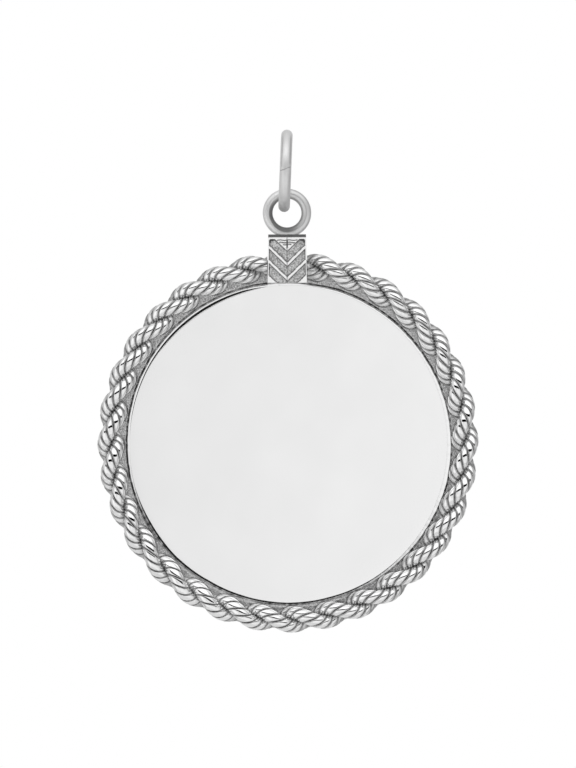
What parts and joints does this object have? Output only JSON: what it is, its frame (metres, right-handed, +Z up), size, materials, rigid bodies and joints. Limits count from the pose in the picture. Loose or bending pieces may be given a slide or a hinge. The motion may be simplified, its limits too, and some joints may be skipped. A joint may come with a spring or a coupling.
{
  "type": "disc pendant",
  "caption": "Round plain disc pendant in a bezel with a twisted rope border, hung from a chevron bail block, a fixed loop and a jump ring.",
  "frame": {"origin": "top of the jump ring's inside, where a chain bears", "axes": "+Z up, the polished face of the disc towards -Y, +X to the right as seen from the front"},
  "size_m": [0.03, 0.0064, 0.0396],
  "materials": {
    "polished_silver": "polished white metal",
    "cast_silver": "white metal, polished edges over a fine matt grain",
    "rope_silver": "polished white metal wire"
  },
  "bodies": {
    "ring": {"jump_ring": "polished_silver"},
    "pendant": {"bail": "cast_silver", "bezel": "cast_silver", "rope_strand_a": "rope_silver", "rope_strand_b": "rope_silver", "disc": "polished_silver"}
  },
  "joints": [
    {"name": "pendant_swing", "type": "hinge", "parent": "ring", "child": "pendant", "pos_m": [-0.0001, 0, -0.00232], "axis": [0.999, 0, -0.0436], "range_deg": [-90, 90]}
  ]
}
